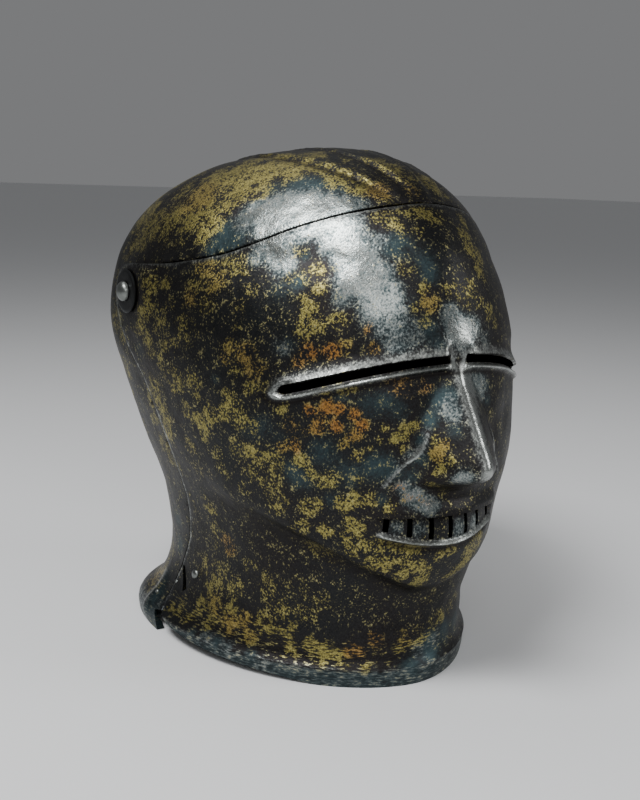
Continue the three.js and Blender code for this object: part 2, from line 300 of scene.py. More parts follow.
def cheek_relief(x, z):
    over = z - jaw_line(x)
    jaw = ramp(98 - np.abs(x), 0, 40) * 2.6 * np.tanh(over / 3.5) * bump(over, 0, 15)
    off_fold = np.abs(x) - fold_line(z)
    fold = fold_span(z) * (ridge(off_fold, 1.6, 1.7) - ridge(off_fold - 5.0, 4.0, 0.9))
    hollow = -1.2 * bump(np.abs(x), 50, 18) * bump(z, 148, 12)
    brow = 2.6 * bump(x, 0, 17) * bump(z, 184, 10)
    return jaw + fold + hollow + brow


# %% The flange
BEVEL_TOP = 10.5


def flange_relief(z):
    """A crisp turn where the flare ends and the bevelled rim begins."""
    return ridge(z - BEVEL_TOP, 1.3, 0.9) - ridge(z - BEVEL_TOP - 5.5, 4.0, 0.8)


# %% Hammer marks
def hammer_relief(points, seed, amounts):
    """Low dents left by the hammer: each pair is a size and a depth in millimetres."""
    relief = np.zeros(len(points))
    for size, depth in amounts:
        shift = Vector((seed * 31.7, seed * 12.3, size))
        relief += depth * np.array([noise.noise(Vector(p) / size + shift) for p in points])
    return relief


HAMMER_MARKS = [(46.0, 0.8), (19.0, 0.5), (7.0, 0.14)]
print("face: slits %.0f mm long, nose %.1f mm proud" % (SLIT_OUTER - SLIT_INNER, PROUD_AT.max()))


# %% [markdown]
# ## Where the finish lies
# Wear is not even: gold stays where nothing rubs, and steel is bare where hands and cloths reach. A
# noise alone would spread it evenly, so each patch has its own place on the form. It is a ball: its centre,
# its radius, how much of the finish is left inside it, and for coppery gold how coppery it looks.

# %% The chart of patches, in millimetres
YELLOW_GILDING = [
    (-29, -13, 278, 10, 0.9), (-39, 1, 276, 9, 0.85), (-48, 14, 275, 10, 0.8), (-60, 8, 268, 14, 1),
    (-54, -8, 268, 13, 1), (-45, -19, 271, 12, 1), (-69, 19, 263, 14, 1), (-68, -6, 259, 11, 1),
    (-62, -19, 259, 8, 0.8), (-78, -3, 250, 9, 0.8), (-86, 10, 245, 12, 1), (-90, 26, 244, 11, 0.9),
    (-84, -4, 242, 9, 0.9), (-94, 39, 239, 11, 0.8), (-96, 51, 233, 12, 0.75), (-96, 26, 233, 8, 0.6),
    (-88, -5, 235, 7, 0.7), (-92, 9, 234, 7, 0.5), (-98, 60, 227, 8, 0.6), (-78, 38, 257, 7, 0.8),
    (-99, 70, 221, 5, 0.4), (-34, -31, 271, 8, 1), (-32, -47, 267, 10, 1), (-27, -59, 262, 9, 1),
    (-26, -47, 270, 6, 0.7), (-18, -11, 280, 6, 0.8), (-7, -42, 277, 6, 0.7), (-4, -54, 273, 7, 0.8),
    (-3, -64, 268, 6, 0.7), (12, -61, 267, 9, 0.95), (16, -68, 262, 7, 0.9), (21, -68, 260, 5, 0.8),
    (10, -9, 283, 5, 0.6), (-20, -34, 276, 5, 0.5), (-97, -12, 208, 6, 0.6), (-82, -33, 221, 8, 0.55),
    (-87, -23, 222, 5, 0.6), (-82, -44, 210, 4, 0.4), (-86, -31, 216, 4, 0.5), (-106, 22, 207, 6, 1),
    (-103, 9, 208, 4, 1), (-108, 24, 198, 5, 0.9), (-108, 27, 191, 6, 0.9), (-106, 17, 196, 4, 0.7),
    (-108, 29, 184, 6, 0.9), (-105, 11, 186, 7, 0.7), (-103, 4, 198, 4, 0.6), (-108, 38, 181, 3, 0.5),
    (-106, 24, 177, 5, 0.8), (-104, 7, 176, 4, 0.8), (-105, 23, 171, 5, 0.6), (-104, 15, 168, 4, 0.7),
    (-101, -10, 186, 9, 0.55), (-95, -21, 200, 5, 0.5), (-103, 1, 177, 5, 0.5), (-86, -42, 201, 4, 0.5),
    (-88, -42, 191, 2.2, 0.5), (-88, -45, 170, 5, 0.6), (-85, -52, 161, 5, 0.7), (-81, -60, 164, 4, 0.6),
    (-65, -70, 207, 4, 0.7), (-65, -73, 200, 6, 0.9), (-67, -73, 193, 5, 0.8), (-62, -78, 196, 5, 0.8),
    (-56, -83, 198, 4, 0.7), (-53, -86, 199, 3, 0.6), (-63, -65, 219, 5, 0.6), (-62, -58, 231, 5, 0.55),
    (-58, -68, 222, 5, 0.75), (-60, -74, 212, 4, 0.8), (-53, -82, 210, 2.5, 0.6), (-52, -75, 222, 3, 0.4),
    (-68, -59, 218, 4, 0.6), (-27, -76, 249, 5, 0.6), (-24, -82, 246, 5, 0.7), (-20, -88, 242, 4, 0.6),
    (-15, -81, 252, 5, 0.5), (-7, -84, 252, 5, 0.9), (-5, -88, 248, 4, 0.8), (-21, -86, 243, 4, 0.7),
    (-13, -91, 242, 3, 0.6), (2, -88, 248, 4, 0.5), (21, -83, 246, 5, 0.6), (17, -90, 240, 6, 0.9),
    (18, -94, 234, 6, 1), (25, -92, 230, 5, 0.8), (20, -98, 224, 5, 0.9), (23, -99, 220, 4, 0.7),
    (-20, -98, 224, 3, 0.5), (-26, -95, 223, 3, 0.5), (-18, -103, 214, 4, 0.7), (-23, -104, 205, 3, 0.7),
    (-19, -106, 199, 4, 0.6), (-4, -107, 214, 5, 0.6), (5, -107, 210, 7, 0.45), (17, -105, 208, 5, 0.5),
    (26, -103, 202, 5, 0.7), (31, -101, 196, 4, 0.6), (10, -105, 216, 5, 0.5), (-22, -74, 254, 4, 0.4),
    (-63, -86, 164, 2.8, 0.9), (-55, -91, 165, 4, 0.8), (-51, -94, 166, 2.5, 0.8), (-102, 25, 151, 7, 0.8),
    (-99, 36, 143, 7, 0.7), (-99, 24, 140, 7, 0.9), (-97, 21, 134, 6, 0.9), (-94, 40, 128, 5, 0.7),
    (-95, 24, 125, 7, 0.8), (-90, 35, 114, 7, 0.7), (-88, 33, 108, 6, 0.6), (-103, 10, 162, 4, 0.6),
    (-102, 0, 162, 4, 0.6), (-100, -3, 156, 5, 0.7), (-101, 4, 153, 4, 0.8), (-99, -15, 160, 6, 0.7),
    (-97, -15, 154, 4, 0.5), (-97, -5, 142, 5, 0.8), (-95, -12, 139, 5, 0.9), (-93, -17, 134, 6, 0.9),
    (-93, -25, 143, 6, 0.9), (-91, -34, 146, 5, 0.9), (-90, -41, 151, 5, 0.9), (-87, -46, 144, 6, 0.8),
    (-85, -52, 142, 5, 0.6), (-91, -39, 156, 4, 0.8), (-92, -16, 128, 3, 0.7), (-92, 0, 121, 5, 0.5),
    (-88, -24, 122, 5, 0.4), (-85, -42, 127, 6, 0.7), (-83, -49, 127, 5, 0.9), (-79, -58, 127, 7, 0.7),
    (-76, -63, 123, 7, 0.6), (-80, -50, 115, 8, 0.5), (-76, -58, 111, 7, 0.5), (-72, -58, 100, 5, 0.7),
    (-71, -64, 104, 5, 0.5), (-86, -25, 113, 5, 0.4), (-80, -40, 105, 5, 0.4), (-79, 1, 83, 5, 0.7),
    (-76, 0, 71, 6, 0.5), (-81, 4, 88, 4, 0.4), (-75, 2, 61, 5, 0.4), (-80, 23, 83, 5, 0.3),
    (-87, -2, 107, 6, 0.3), (-87, 25, 104, 5, 0.4), (-69, -76, 127, 4, 0.9), (-77, -68, 152, 3, 0.7),
    (-75, -70, 155, 2.6, 0.7), (-66, -80, 121, 4, 0.8), (-60, -86, 119, 5, 0.8), (-59, -88, 122, 3, 0.8),
    (-64, -76, 102, 5, 0.9), (-60, -81, 105, 4, 0.8), (-63, -72, 92, 4, 0.7), (-57, -80, 91, 4, 0.8),
    (-55, -71, 79, 5, 0.7), (-64, -67, 88, 5, 0.4), (-55, -83, 91, 2.7, 0.8), (-45, -100, 136, 2, 0.7),
    (-38, -103, 147, 2.5, 0.9), (-34, -107, 141, 3, 1), (-30, -109, 145, 4, 1), (-25, -110, 148, 3, 0.9),
    (-31, -109, 136, 3, 0.9), (-40, -103, 141, 2, 0.6), (-18, -118, 142, 3, 0.9),
    (-14, -126, 133, 2.5, 0.9), (-18, -123, 129, 3, 0.9), (-20, -120, 125, 2.1, 0.8),
    (-17, -116, 118, 4, 0.5), (-7, -114, 114, 5, 0.5), (-33, -104, 106, 4, 0.6), (-52, -91, 106, 5, 0.9),
    (-47, -96, 110, 5, 0.9), (-42, -100, 110, 4, 0.9), (-49, -92, 98, 4, 0.9), (-49, -89, 90, 4, 0.8),
    (-44, -94, 93, 4, 0.7), (-41, -95, 85, 5, 0.8), (-35, -99, 85, 5, 0.9), (-47, -90, 82, 5, 0.8),
    (-50, -78, 76, 5, 0.5), (-28, -103, 85, 5, 0.9), (-21, -107, 83, 5, 1), (-16, -112, 86, 4, 0.9),
    (-23, -105, 77, 5, 0.9), (-14, -106, 73, 5, 0.9), (-32, -100, 74, 6, 0.9), (-38, -96, 74, 6, 0.8),
    (-23, -102, 68, 5, 0.8), (-9, -101, 62, 6, 1), (-8, -105, 69, 4, 0.9), (-4, -110, 78, 4, 0.8),
    (2, -111, 80, 5, 0.7), (13, -103, 65, 5, 0.7), (20, -106, 76, 7, 0.9), (27, -104, 80, 5, 0.9),
    (19, -104, 69, 5, 0.9), (9, -99, 59, 5, 0.6), (-48, -97, 120, 2.5, 0.6), (-55, -91, 121, 4, 0.5),
    (-76, 12, 46, 6, 0.6), (-75, -4, 46, 9, 0.6), (-73, -18, 41, 8, 0.6), (-77, 3, 35, 6, 0.8),
    (-81, 7, 25, 6, 0.9), (-84, 26, 19, 6, 0.7), (-87, 34, 15, 4, 0.8), (-75, -17, 29, 6, 0.9),
    (-81, -5, 19, 5, 0.9), (-85, 12, 16, 4, 0.9), (-67, -41, 28, 7, 0.8), (-60, -52, 30, 7, 0.7),
    (-62, -49, 38, 8, 0.5), (-54, -62, 41, 8, 0.4), (-50, -69, 46, 7, 0.3), (-65, -44, 48, 9, 0.4),
    (-70, -30, 59, 5, 0.4), (-58, -61, 53, 6, 0.3), (-52, -64, 22, 5, 0.8), (-46, -70, 20, 5, 1),
    (-40, -75, 18, 4, 0.9), (-38, -78, 13, 4, 0.6), (-30, -85, 11, 3, 0.9), (-49, -70, 12, 4, 0.6),
    (3, -89, 25, 6, 0.6), (12, -87, 27, 5, 0.6), (19, -85, 31, 5, 0.6), (30, -80, 35, 5, 0.5),
    (35, -78, 39, 5, 0.4), (-11, -89, 20, 4, 0.6), (10, -87, 44, 4, 0.3), (-59, -55, 17, 5, 0.7),
]

COPPERY_GILDING = [
    # The first two coppery patches, on the upper lip, are a painted reflection of the pale floor.
    (-26, -109, 112, 4, 0.75, 0.5), (-19, -111, 110, 4, 0.6, 0.4), (-79, 18, 255, 12, 0.95, 0.2),
    (-21, -66, 260, 7, 0.9, 0.4), (-5, -73, 262, 5, 0.5, 0.3), (-92, -15, 218, 7, 0.8, 0.2),
    (-91, -24, 212, 7, 0.9, 0.2), (-99, -11, 203, 5, 0.6, 0.3), (-90, -40, 181, 5, 0.8, 0.2),
    (-92, -37, 174, 4, 0.6, 0.3), (-86, -48, 178, 6, 0.6, 0.4), (-84, -54, 171, 6, 0.6, 0.3),
    (-66, -77, 182, 5, 0.7, 1), (-59, -84, 184, 5, 0.8, 1), (-54, -89, 186, 4, 0.8, 0.3),
    (-70, -73, 177, 4, 0.5, 0.8), (-43, -97, 186, 4, 0.8, 0.6), (-44, -94, 194, 2.9, 0.7, 0.8),
    (-43, -94, 199, 2.4, 0.6, 0.8), (-16, -106, 208, 5, 0.8, 0.3), (-31, -105, 168, 7, 0.3, 0.7),
    (-19, -109, 168, 5, 0.25, 0.7), (-74, -11, 65, 7, 0.6, 0.6), (-75, -68, 134, 4, 0.8, 0.4),
    (-72, -74, 135, 4, 0.8, 0.7), (-73, -72, 145, 4, 0.4, 0.5), (-67, -80, 153, 4, 0.9, 1),
    (-62, -86, 156, 4, 1, 1), (-57, -91, 155, 4, 1, 1), (-51, -95, 153, 4, 1, 1), (-48, -97, 148, 4, 1, 1),
    (-65, -84, 147, 5, 0.9, 0.7), (-58, -90, 147, 4, 0.8, 1), (-51, -96, 143, 4, 0.9, 0.6),
    (-69, -79, 143, 2.6, 0.7, 0.4), (-55, -93, 138, 3, 0.8, 0.3), (-50, -96, 132, 4, 0.8, 0.1),
    (-15, -122, 140, 3, 0.9, 0.3), (-18, -120, 135, 4, 1, 0.3), (-30, -107, 116, 4, 0.35, 1),
    (-23, -109, 112, 4, 0.35, 1), (-16, -111, 107, 3, 0.3, 1), (-78, -5, 29, 6, 1, 0.2),
    (-72, -29, 27, 6, 0.9, 0.3), (-76, -19, 22, 6, 0.9, 0.3), (-71, -33, 20, 5, 0.8, 0.2),
    (-34, -80, 21, 6, 0.4, 0.7), (-24, -85, 27, 5, 0.35, 0.7), (-7, -89, 25, 5, 0.6, 0.2),
]

BURNISH = [
    # The first three patches, on the upper lip, are a painted reflection of the pale floor.
    (-25, -110, 111, 4, 0.75), (-18, -112, 109, 3.5, 0.75), (-12, -114, 108, 3, 0.6), (-67, -29, 249, 7, 1),
    (-68, -38, 242, 7, 1), (-59, -38, 252, 7, 1), (-52, -46, 253, 8, 1), (-46, -55, 252, 7, 0.9),
    (-56, -48, 247, 6, 0.8), (-72, -38, 235, 4, 0.7), (-72, -24, 246, 5, 0.6), (-76, -22, 241, 5, 0.4),
    (-39, -62, 253, 6, 0.7), (-32, -66, 255, 5, 0.5), (-69, -45, 235, 5, 0.8), (-69, -50, 228, 5, 1),
    (-68, -54, 223, 5, 0.9), (-71, -45, 230, 4, 0.8), (-77, -39, 225, 4, 0.6), (-60, -55, 238, 5, 0.7),
    (-53, -58, 243, 5, 0.8), (-46, -65, 243, 6, 0.9), (-42, -72, 241, 6, 1), (-46, -75, 232, 6, 1),
    (-41, -81, 230, 6, 1), (-45, -82, 222, 7, 1), (-40, -89, 218, 6, 1), (-48, -83, 215, 5, 0.9),
    (-40, -92, 211, 5, 0.8), (-33, -96, 214, 5, 0.7), (-33, -91, 223, 4, 0.6), (-31, -83, 237, 4, 0.5),
    (-51, -68, 234, 5, 0.8), (-53, -82, 208, 4, 0.5), (-41, -94, 203, 6, 0.7), (-34, -98, 207, 5, 0.7),
    (-31, -101, 200, 6, 0.5), (-37, -99, 192, 6, 0.4), (-22, -106, 192, 5, 0.4), (-31, -103, 188, 5, 0.5),
    (-3, -110, 197, 5, 1), (3, -111, 194, 6, 1), (1, -110, 190, 4, 0.9), (11, -109, 196, 4, 0.7),
    (-5, -108, 204, 4, 0.6), (20, -107, 188, 5, 0.4), (-76, -64, 184, 4, 0.3), (-74, -67, 182, 3, 0.3),
    (-8, -116, 161, 4, 0.5), (-8, -120, 154, 4, 0.5), (6, -113, 167, 5, 0.8), (16, -111, 161, 4, 0.7),
    (16, -109, 168, 4, 0.7), (-11, -116, 156, 4, 0.4), (-9, -131, 124, 4, 0.9), (-10, -128, 122, 3, 0.7),
    (-29, -108, 117, 4, 0.5), (-22, -109, 112, 4, 0.6), (-15, -111, 105, 4, 0.6), (-29, -104, 95, 4, 0.4),
    (-18, -109, 93, 4, 0.4), (6, -112, 92, 5, 0.5), (20, -108, 92, 4, 0.6), (-24, -114, 137, 2.5, 0.4),
    (-28, -110, 134, 2.5, 0.5), (-32, -108, 129, 2.5, 0.4), (-85, -7, 12, 5, 0.5), (-81, -23, 10, 5, 0.5),
    (-70, -45, 6, 5, 0.4), (2, -90, 18, 5, 0.4), (14, -88, 21, 5, 0.4), (-89, 46, 13, 5, 0.4),
]

PATINA = [
    (-82, -16, 237, 7, 0.9), (-87, -15, 228, 6, 0.9), (-80, -24, 233, 6, 0.7), (-74, -28, 241, 5, 0.5),
    (-59, -23, 259, 6, 0.6), (-49, -36, 262, 8, 0.8), (-42, -44, 263, 6, 0.7), (-36, -54, 261, 5, 0.6),
    (-73, -58, 211, 7, 0.4), (-65, -64, 216, 4, 0.7), (-60, -60, 228, 3, 0.7), (-57, -60, 236, 2.6, 0.6),
    (-29, -88, 233, 6, 0.6), (-23, -89, 237, 6, 0.6), (-15, -99, 228, 6, 0.6), (-14, -102, 221, 4, 0.7),
    (-17, -108, 195, 6, 0.7), (-31, -102, 195, 7, 0.7), (-11, -109, 187, 4, 0.6), (-45, -99, 158, 6, 0.6),
    (-38, -103, 161, 4, 0.6), (-32, -106, 156, 6, 0.5), (-56, -90, 162, 4, 0.6), (-12, -113, 161, 5, 0.9),
    (-18, -113, 151, 4, 0.9), (-23, -113, 141, 3, 0.9), (-24, -115, 132, 4, 0.7), (-7, -115, 163, 4, 0.8),
    (-10, -123, 147, 4, 0.5), (20, -109, 165, 4, 0.6), (22, -110, 157, 3, 0.6), (-36, -106, 126, 6, 0.7),
    (-42, -102, 128, 6, 0.7), (-52, -94, 123, 7, 0.6), (-63, -85, 134, 7, 0.6), (-68, -75, 117, 6, 0.6),
    (-72, -71, 122, 5, 0.6), (-38, -102, 110, 4, 0.6), (-26, -110, 121, 5, 0.6), (-57, -86, 108, 4, 0.5),
    (-76, 47, 64, 5, 0.7), (-75, 45, 49, 5, 0.7), (-94, -31, 163, 2.9, 0.5), (-84, -52, 140, 7, 0.4),
    (-81, -60, 144, 5, 0.4), (-76, -67, 137, 4, 0.4), (-83, -16, 10, 5, 0.8), (-73, -38, 8, 5, 0.8),
    (-60, -58, 4, 5, 0.7), (-45, -74, 4, 5, 0.7), (-27, -86, 5, 5, 0.7), (-6, -93, 9, 6, 0.9),
    (10, -90, 16, 6, 0.9), (24, -84, 22, 6, 0.9), (10, -89, 21, 5, 0.8), (38, -76, 22, 6, 0.8),
    (-89, 3, 10, 4, 0.7), (-84, 54, 19, 6, 0.7), (-90, 47, 10, 5, 0.7), (-90, 56, 13, 6, 0.6),
    (-79, 57, 27, 5, 0.6), (-106, 36, 169, 6, 0.4), (-73, -68, 185, 4, 0.5), (-25, -102, 209, 5, 0.3),
    (-37, -98, 199, 7, 0.5), (-6, -110, 197, 3, 0.3),
]


# %% From the chart to values on a plate
def charted(points, patches, column=4, ragged=0.35):
    """The strongest patch at each point, with its border made ragged by a noise."""
    value = np.zeros(len(points))
    wander = np.array([noise.noise(Vector(p) / 7.0) for p in points]) * ragged
    for patch in patches:
        distance = np.linalg.norm(points - np.array(patch[:3]), axis=1) / (patch[3] * 1.15)
        inside = ramp(1.25 - distance + wander, 0, 0.75)
        value = np.maximum(value, inside * patch[column])
    return value


def shaded_in(points, patches, spread=1.25):
    """Like charted, but the patches fade out smoothly and add up where they meet."""
    left = np.ones(len(points))
    for patch in patches:
        distance = np.linalg.norm(points - np.array(patch[:3]), axis=1) / (patch[3] * spread)
        left *= 1 - min(patch[4], 0.97) * np.exp(-(distance ** 2))
    return 1 - left


def with_hidden_side(patches):
    """The wearer's left cheek and the back get the same kind of wear as the right cheek and the face."""
    hidden = [(-p[0] + 2, p[1] + 3, p[2] - 5) + p[3:] for p in patches if p[0] < -62]
    behind = [(p[0], 67 - 0.67 * p[1], p[2] - 4) + p[3:] for p in patches + hidden if p[1] < 15]
    return patches + hidden + behind


def paint_values(mesh, points, wear_and_highlight, painted_shade):
    """Stores what the shader reads: one number for each vertex for each kind of finish, for painted highlight
    and for painted shade.
    """
    coppery = with_hidden_side(COPPERY_GILDING)
    gold = with_hidden_side(YELLOW_GILDING) + coppery
    x, y, z = points.T
    neck = 0.12 * bump(z, 17, 6) * ramp(60 - x, 0, 40) * ramp(30 - y, 0, 10)
    rim = 0.6 * ramp(BEVEL_TOP - z, -0.5, 1.0)
    layers = {
        "gilding": np.clip(charted(points, gold) + neck, 0, 1),
        "warmth": charted(points, coppery, column=5),
        "burnish": shaded_in(points, with_hidden_side(BURNISH)),
        "patina": np.maximum(shaded_in(points, with_hidden_side(PATINA)), rim),
        "wear_and_highlight": wear_and_highlight,
        "painted_shade": painted_shade,
    }
    for name, values in layers.items():
        layer = mesh.attributes.new(name, "FLOAT", "POINT")
        layer.data.foreach_set("value", values.astype(np.float32))


gilt_patches = len(YELLOW_GILDING) + len(COPPERY_GILDING)
print("chart: %d gilt, %d burnished and %d patinated patches" % (gilt_patches, len(BURNISH), len(PATINA)))

# %% [markdown]
# ## Making a plate
# A grid is the simplest start for a sheet of metal. Its columns go round the helmet and its rows go
# up to the crown. The grid is bent onto the form, cut to its outline, given its relief, and only then
# made as thick as the steel, so that every edge shows a real thickness.

# %% A grid bent onto the form
DOME_RADIUS = HEIGHT - WIDEST_HEIGHT
# path length up the side, and the row spacing wanted from there on
ROW_SPACING = [
    (0, 1.5), (22, 1.9), (80, 1.7), (84, 0.9), (104, 0.9), (112, 1.1), (132, 1.1), (138, 1.8),
    (168, 1.6), (173, 0.85), (189, 0.85), (196, 1.8), (235, 2.0), (339, 2.2),
]


def row_heights(unit):
    """Row heights for unit values from 0 to 1, close together where the face has detail."""
    path = np.linspace(0, WIDEST_HEIGHT + DOME_RADIUS * math.pi / 2, 3000)
    spacing = np.interp(path, [p for p, _ in ROW_SPACING], [s for _, s in ROW_SPACING])
    count = np.concatenate([[0], np.cumsum(np.diff(path) / spacing[1:])])
    along = np.interp(unit * count[-1], count, path)
    dome = np.clip((along - WIDEST_HEIGHT) / DOME_RADIUS, 0, math.pi / 2)
    return np.where(along < WIDEST_HEIGHT, along, WIDEST_HEIGHT + DOME_RADIUS * np.sin(dome))


def bent_grid(columns, rows, face_share):
    """A grid round the form. Its rows droop with the eye slits, so that their edges stay clean."""
    bm = bmesh.new()
    bmesh.ops.create_grid(bm, x_segments=columns, y_segments=rows, size=1.0)
    unit = coordinates(bm)
    turn = unit[:, 0] * np.pi
    angle = turn - face_share * np.sin(turn) - np.pi / 2
    height = row_heights((unit[:, 1] + 1) / 2)
    plain = form_points(angle, height)
    follow = ramp(height, 128, 172) * ramp(245 - height, 0, 50)
    height = height + follow * (slit_line(plain[:, 0]) - SLIT_LEVEL)
    place_vertices(bm, form_points(angle, height))
    bmesh.ops.remove_doubles(bm, verts=bm.verts, dist=0.02)
    bmesh.ops.recalc_face_normals(bm, faces=bm.faces)
    return bm


def mark(bm, wear_and_highlight, painted_shade):
    """Remembers on each vertex how rubbed and highlit it is and how much painted shade it gets."""
    for name, values in (("wear_and_highlight", wear_and_highlight), ("painted_shade", painted_shade)):
        layer = bm.verts.layers.float.new(name)
        for v, value in zip(bm.verts, values):
            v[layer] = float(value)


def place_vertices(bm, points):
    for v, p in zip(bm.verts, points):
        v.co = p


def refine(bm, zone):
    """Halves the faces where the zone test holds."""
    chosen = dict(zip(bm.verts, zone(coordinates(bm))))
    edges = [e for e in bm.edges if chosen[e.verts[0]] and chosen[e.verts[1]]]
    bmesh.ops.subdivide_edges(bm, edges=edges, cuts=1, use_grid_fill=True)


def coordinates(bm):
    return np.array([v.co[:] for v in bm.verts])


# %% Cutting a plate where a field is negative
def keep_inside(bm, field):
    """Cuts the mesh along the line where the field is 0 and deletes the negative side."""
    bm.verts.ensure_lookup_table()
    depth = field(coordinates(bm))
    depth = np.where(np.abs(depth) < 1e-3, 1e-3, depth)
    layer = bm.verts.layers.float.new("depth")
    for v, d in zip(bm.verts, depth):
        v[layer] = d
    crossing = [e for e in bm.edges if e.verts[0][layer] * e.verts[1][layer] < 0]
    seam = []
    for e in crossing:
        a, b = e.verts
        share = a[layer] / (a[layer] - b[layer])
        _, middle = bmesh.utils.edge_split(e, a, share)
        middle[layer] = 0.0
        seam.append(middle)
    bmesh.ops.connect_verts(bm, verts=seam)
    gone = [f for f in bm.faces if sum(v[layer] for v in f.verts) < 0]
    bmesh.ops.delete(bm, geom=gone, context="FACES")
    bm.verts.layers.float.remove(layer)
    loose = [v for v in bm.verts if not v.link_faces]
    bmesh.ops.delete(bm, geom=loose, context="VERTS")
    return bm


def move_along_normals(bm, amounts):
    bm.normal_update()
    normals = [v.normal.copy() for v in bm.verts]
    for v, n, amount in zip(bm.verts, normals, amounts):
        v.co += n * float(amount)


# %% From a bmesh to an object with a wall
RIM_HEIGHT = 8.0
SHARP_ANGLE = math.radians(38)


def plate_object(name, bm, rim_wall):
    """Closes the sheet with a wall inside it, thicker at the turned bottom rim."""
    for face in bm.faces:
        face.smooth = True
    bmesh.ops.triangulate(bm, faces=[f for f in bm.faces if len(f.verts) > 4])
    bmesh.ops.recalc_face_normals(bm, faces=bm.faces)
    top = max(bm.verts, key=lambda v: v.co.z)
    if top.normal.z < 0:
        bmesh.ops.reverse_faces(bm, faces=bm.faces)
    points = coordinates(bm)
    heights = points[:, 2]
    marks = bm.verts.layers.float
    wear_and_highlight = np.array([v[marks["wear_and_highlight"]] for v in bm.verts])
    painted_shade = np.array([v[marks["painted_shade"]] for v in bm.verts])
    marks.remove(marks["wear_and_highlight"])
    marks.remove(marks["painted_shade"])
    bmesh.ops.scale(bm, vec=(MM, MM, MM), verts=bm.verts)
    mesh = bpy.data.meshes.new(name)
    bm.to_mesh(mesh)
    bm.free()
    paint_values(mesh, points, wear_and_highlight, painted_shade)
    piece = bpy.data.objects.new(name, mesh)
    bpy.context.scene.collection.objects.link(piece)
    group = piece.vertex_groups.new(name="wall")
    for i, z in enumerate(heights):
        share = 1 - float(ramp(np.float64(z), RIM_HEIGHT * 0.4, RIM_HEIGHT))
        group.add([i], (SHEET + (rim_wall - SHEET) * share) / rim_wall, "REPLACE")
    solidify = piece.modifiers.new("wall", "SOLIDIFY")
    solidify.thickness = rim_wall * MM
    solidify.offset = -1
    solidify.material_offset = 1
    solidify.use_even_offset = False
    solidify.vertex_group = "wall"
    return piece


def apply_modifiers(piece):
    graph = bpy.context.evaluated_depsgraph_get()
    made = bpy.data.meshes.new_from_object(piece.evaluated_get(graph))
    piece.modifiers.clear()
    piece.data = made
    made.name = piece.name
    made.polygons.foreach_set("use_smooth", [True] * len(made.polygons))
    made.set_sharp_from_angle(angle=SHARP_ANGLE)
    return piece


# %% [markdown]
# ## The visor
# It is one plate from the brow seam down to the flange. The eye slits and the breaths are cut before
# the relief, so the relief can pull their lips out of the sheet. The lobe round each pivot is flat,
# because the plate has to turn against the skull there.

# %% Make the visor
PIVOT = np.array([37.0, 201.0])
PIVOT_PLANE = 108.4
LOCK_SLOT = {"y": 23.0, "z": 33.0, "half_length": 7.5, "half_width": 1.8, "lean": math.radians(35)}


def lock_slot_depth(points):
    y, z = points[:, 1] - LOCK_SLOT["y"], points[:, 2] - LOCK_SLOT["z"]
    c, s = math.cos(LOCK_SLOT["lean"]), math.sin(LOCK_SLOT["lean"])
    across = LOCK_SLOT["half_width"] - np.abs(c * y - s * z)
    along = LOCK_SLOT["half_length"] - np.abs(s * y + c * z)
    return np.where(points[:, 0] < 0, np.minimum(across, along), -9.0)


def visor_field(points):
    x, y, z = points.T
    plate = depth_inside(visor_outline, points[:, 1:])
    openings = np.where(y < -20, np.maximum(slit_depth(x, z), breath_depth(x, z)), -9.0)
    return np.minimum(plate, -np.maximum(openings, lock_slot_depth(points)))


def detail_zone(points):
    x, y, z = points.T
    in_mouth = (np.abs(x) < 46) & (z > 81) & (z < 106)
    in_slits = (np.abs(x) < 84) & (np.abs(z - slit_line(x)) < 7.5)
    in_nose = (np.abs(x) < 28) & (z > 110) & (z < 176)
    return (y < -40) & (in_mouth | in_slits | in_nose)


def flatten_lobe(points, plane, inner, outer):
    """Draws the plate to a plane round the pivot on both sides."""
    away = np.linalg.norm(points[:, 1:] - PIVOT, axis=1)
    share = 1 - ramp(away, inner, outer)
    side = np.sign(points[:, 0])
    points[:, 0] += share * (side * plane - points[:, 0])
    return points


def visor_wear_and_highlight(points):
    """Crests that stand proud are rubbed bright, partly real wear and partly a painted highlight: lips, brow,
    the nose's ridge, the rim's edge.
    """
    x, y, z = points.T
    front = ramp(-y, 0, 30)
    away = -slit_depth(x, z)
    above = z - slit_line(x)
    lips = 0.8 * bump(away, 1.8, 1.2) * (above < 0) + 0.52 * ramp(7.5 - away, 0, 7) * (above > 0)
    lips = lips * ramp(SLIT_OUTER + 6 - np.abs(x), 0, 4) * (away > 0)
    nose_ridge = 0.95 * bump(x, 0.8, 4.2) * ramp(z, 118, 127) * ramp(182 - z, 0, 8)
    nose_far = 0.6 * ramp(x, 1, 5) * ramp(12 - x, 0, 4) * bump(z, 165, 12)
    crease = 0.62 * fold_span(z) * bump(np.abs(x) - fold_line(z), 0, 1.5)
    brow = 0.55 * bump(x, 2, 12) * bump(z, 191, 8)
    mouth = ramp(MOUTH_HALF_WIDTH + 1 - np.abs(x), 0, 4)
    rim = 0.7 * mouth * bump(z - mouth_floor(x), -1.2, 1.6)
    bevel = 0.14 * bump(z, BEVEL_TOP, 1.6) + 0.20 * ramp(BEVEL_TOP - z, -0.5, 1.0)
    edge = 0.5 * ramp(1.8 - depth_inside(visor_outline, points[:, 1:]), 0, 1.2) * ramp(z, 14, 24)
    crests = np.maximum.reduce([lips, nose_ridge, nose_far, crease, brow, rim])
    return np.clip(front * crests + np.maximum(bevel, edge), 0, 1)


